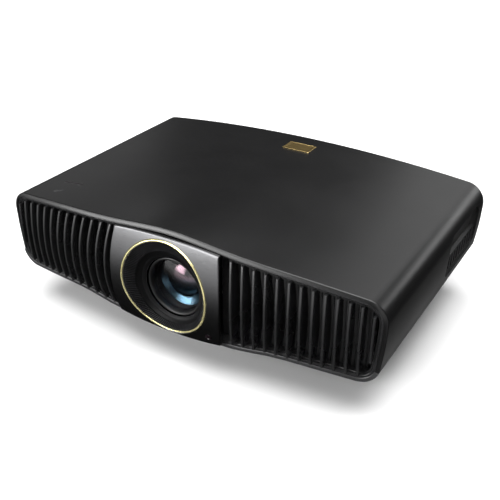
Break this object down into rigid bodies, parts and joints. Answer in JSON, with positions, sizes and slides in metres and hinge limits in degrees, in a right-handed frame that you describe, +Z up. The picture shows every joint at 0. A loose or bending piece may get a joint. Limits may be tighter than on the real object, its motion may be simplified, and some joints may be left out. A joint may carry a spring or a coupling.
{
  "type": "home projector",
  "caption": "Wide low home cinema projector: satin black crowned case, bowed upright fin grilles, dark silver lens panel with a gold ring, recessed shifting lens, levelling feet",
  "frame": {"origin": "middle of the object's footprint, at floor level under the feet", "axes": "+Z up, -Y towards the screen (the lens side), +X to the right of someone who looks along +Y at the lens"},
  "size_m": [0.491, 0.34, 0.1686],
  "materials": {
    "casing": "satin black paint",
    "moulding": "fine matt texture",
    "lens_panel": "dark silver metallic lacquer",
    "gold": "champagne gold anodised",
    "rubber": "matt",
    "glass": "multi-coated",
    "steel": "plated",
    "alloy": "as cast",
    "circuit_board": "solder resist"
  },
  "bodies": {
    "casing": {"top_cover": "casing", "bottom_case": "casing", "front_bezel": "moulding", "left_grille": "moulding", "right_grille": "moulding", "lens_panel": "lens_panel", "ir_window": "glass", "lens_trim_ring": "gold", "lens_cone": "moulding", "rear_panel": "moulding", "ac_inlet": "moulding", "hdmi_port_1": "steel", "hdmi_port_2": "steel", "usb_port": "steel", "lan_port": "steel", "serial_port": "steel", "right_side_vent": "moulding", "keypad_tray": "moulding", "keypad_board": "circuit_board", "status_window": "glass", "top_badge": "gold", "lens_mount_plate": "alloy", "vertical_motor": "steel", "light_engine_housing": "alloy", "mirror_chip_board": "circuit_board", "laser_module": "steel", "laser_heatsink": "alloy", "main_board": "circuit_board", "power_supply": "circuit_board", "intake_fan_frame": "moulding", "exhaust_fan_frame": "moulding"},
    "vertical_shift": {"vertical_carriage": "alloy", "horizontal_motor": "steel"},
    "horizontal_shift": {"horizontal_carriage": "alloy", "lens_barrel": "alloy", "focus_motor": "steel", "zoom_motor": "steel"},
    "focus": {"focus_ring": "moulding", "front_lens": "glass"},
    "zoom": {"zoom_ring": "moulding"},
    "focus_drive": {"focus_pinion": "steel"},
    "zoom_drive": {"zoom_pinion": "steel"},
    "vertical_lead_screw": {"vertical_screw": "steel"},
    "horizontal_lead_screw": {"horizontal_screw": "steel"},
    "wheel": {"phosphor_wheel": "steel"},
    "intake_fan": {"intake_fan_rotor": "moulding"},
    "exhaust_fan": {"exhaust_fan_rotor": "moulding"},
    "door": {"keypad_door": "casing"},
    "foot_front_left": {"foot_front_left": "rubber"},
    "foot_front_right": {"foot_front_right": "rubber"},
    "foot_rear_left": {"foot_rear_left": "rubber"},
    "foot_rear_right": {"foot_rear_right": "rubber"},
    "key_power": {"button_power": "rubber"},
    "key_source": {"button_source": "rubber"},
    "key_back": {"button_back": "rubber"},
    "key_ok": {"button_ok": "rubber"},
    "key_up": {"button_up": "rubber"},
    "key_down": {"button_down": "rubber"},
    "key_left": {"button_left": "rubber"},
    "key_right": {"button_right": "rubber"}
  },
  "joints": [
    {"name": "lens_shift_vertical", "type": "slide", "parent": "casing", "child": "vertical_shift", "axis": [0, 0, 1], "range_m": [-0.003, 0.003]},
    {"name": "lens_shift_horizontal", "type": "slide", "parent": "vertical_shift", "child": "horizontal_shift", "axis": [1, 0, 0], "range_m": [-0.0022, 0.0022]},
    {"name": "vertical_screw_turn", "type": "hinge", "parent": "casing", "child": "vertical_lead_screw", "pos_m": [0.08, -0.0695, 0.064], "axis": [0, 0, 1], "range_deg": [-275, 275]},
    {"name": "horizontal_screw_turn", "type": "hinge", "parent": "vertical_shift", "child": "horizontal_lead_screw", "pos_m": [-0.024, -0.075, 0.14], "axis": [1, 0, 0], "range_deg": [-200, 200]},
    {"name": "focus_turn", "type": "hinge", "parent": "horizontal_shift", "child": "focus", "pos_m": [0, -0.1467, 0.0932], "axis": [0, 1, 0], "range_deg": [-45, 45]},
    {"name": "zoom_turn", "type": "hinge", "parent": "horizontal_shift", "child": "zoom", "pos_m": [0, -0.115, 0.0932], "axis": [0, 1, 0], "range_deg": [-25, 25]},
    {"name": "focus_pinion_spin", "type": "hinge", "parent": "horizontal_shift", "child": "focus_drive", "pos_m": [0.03767, -0.13, 0.12263], "axis": [0, 1, 0], "range_deg": [-210, 210]},
    {"name": "zoom_pinion_spin", "type": "hinge", "parent": "horizontal_shift", "child": "zoom_drive", "pos_m": [-0.03767, -0.111, 0.12263], "axis": [0, 1, 0], "range_deg": [-120, 120]},
    {"name": "phosphor_wheel_spin", "type": "hinge", "parent": "casing", "child": "wheel", "pos_m": [-0.066, 0.03, 0.0932], "axis": [1, 0, 0], "continuous": true},
    {"name": "intake_fan_spin", "type": "hinge", "parent": "casing", "child": "intake_fan", "pos_m": [-0.135, -0.128, 0.0945], "axis": [0, 1, 0], "continuous": true},
    {"name": "exhaust_fan_spin", "type": "hinge", "parent": "casing", "child": "exhaust_fan", "pos_m": [0.135, -0.128, 0.0945], "axis": [0, 1, 0], "continuous": true},
    {"name": "keypad_door_slide", "type": "slide", "parent": "casing", "child": "door", "axis": [0, -1, 0], "range_m": [0, 0.104]},
    {"name": "foot_front_left_height", "type": "slide", "parent": "casing", "child": "foot_front_left", "axis": [0, 0, 1], "range_m": [-0.012, 0]},
    {"name": "foot_front_right_height", "type": "slide", "parent": "casing", "child": "foot_front_right", "axis": [0, 0, 1], "range_m": [-0.012, 0]},
    {"name": "foot_rear_left_height", "type": "slide", "parent": "casing", "child": "foot_rear_left", "axis": [0, 0, 1], "range_m": [-0.012, 0]},
    {"name": "foot_rear_right_height", "type": "slide", "parent": "casing", "child": "foot_rear_right", "axis": [0, 0, 1], "range_m": [-0.012, 0]},
    {"name": "key_power_press", "type": "slide", "parent": "casing", "child": "key_power", "axis": [1, 0, 0], "range_m": [0, 0.0008], "stiffness_N_per_m": 800, "springref_m": -0.0005},
    {"name": "key_source_press", "type": "slide", "parent": "casing", "child": "key_source", "axis": [1, 0, 0], "range_m": [0, 0.0008], "stiffness_N_per_m": 800, "springref_m": -0.0005},
    {"name": "key_back_press", "type": "slide", "parent": "casing", "child": "key_back", "axis": [1, 0, 0], "range_m": [0, 0.0008], "stiffness_N_per_m": 800, "springref_m": -0.0005},
    {"name": "key_ok_press", "type": "slide", "parent": "casing", "child": "key_ok", "axis": [1, 0, 0], "range_m": [0, 0.0008], "stiffness_N_per_m": 800, "springref_m": -0.0005},
    {"name": "key_up_press", "type": "slide", "parent": "casing", "child": "key_up", "axis": [1, 0, 0], "range_m": [0, 0.0008], "stiffness_N_per_m": 800, "springref_m": -0.0005},
    {"name": "key_down_press", "type": "slide", "parent": "casing", "child": "key_down", "axis": [1, 0, 0], "range_m": [0, 0.0008], "stiffness_N_per_m": 800, "springref_m": -0.0005},
    {"name": "key_left_press", "type": "slide", "parent": "casing", "child": "key_left", "axis": [1, 0, 0], "range_m": [0, 0.0008], "stiffness_N_per_m": 800, "springref_m": -0.0005},
    {"name": "key_right_press", "type": "slide", "parent": "casing", "child": "key_right", "axis": [1, 0, 0], "range_m": [0, 0.0008], "stiffness_N_per_m": 800, "springref_m": -0.0005}
  ],
  "couplings": [
    {"joint": "vertical_screw_turn", "follows": "lens_shift_vertical", "rad_per_m": 1570.8},
    {"joint": "horizontal_screw_turn", "follows": "lens_shift_horizontal", "rad_per_m": 1570.8},
    {"joint": "focus_pinion_spin", "follows": "focus_turn", "ratio": -4.5882},
    {"joint": "zoom_pinion_spin", "follows": "zoom_turn", "ratio": -4.5882}
  ]
}
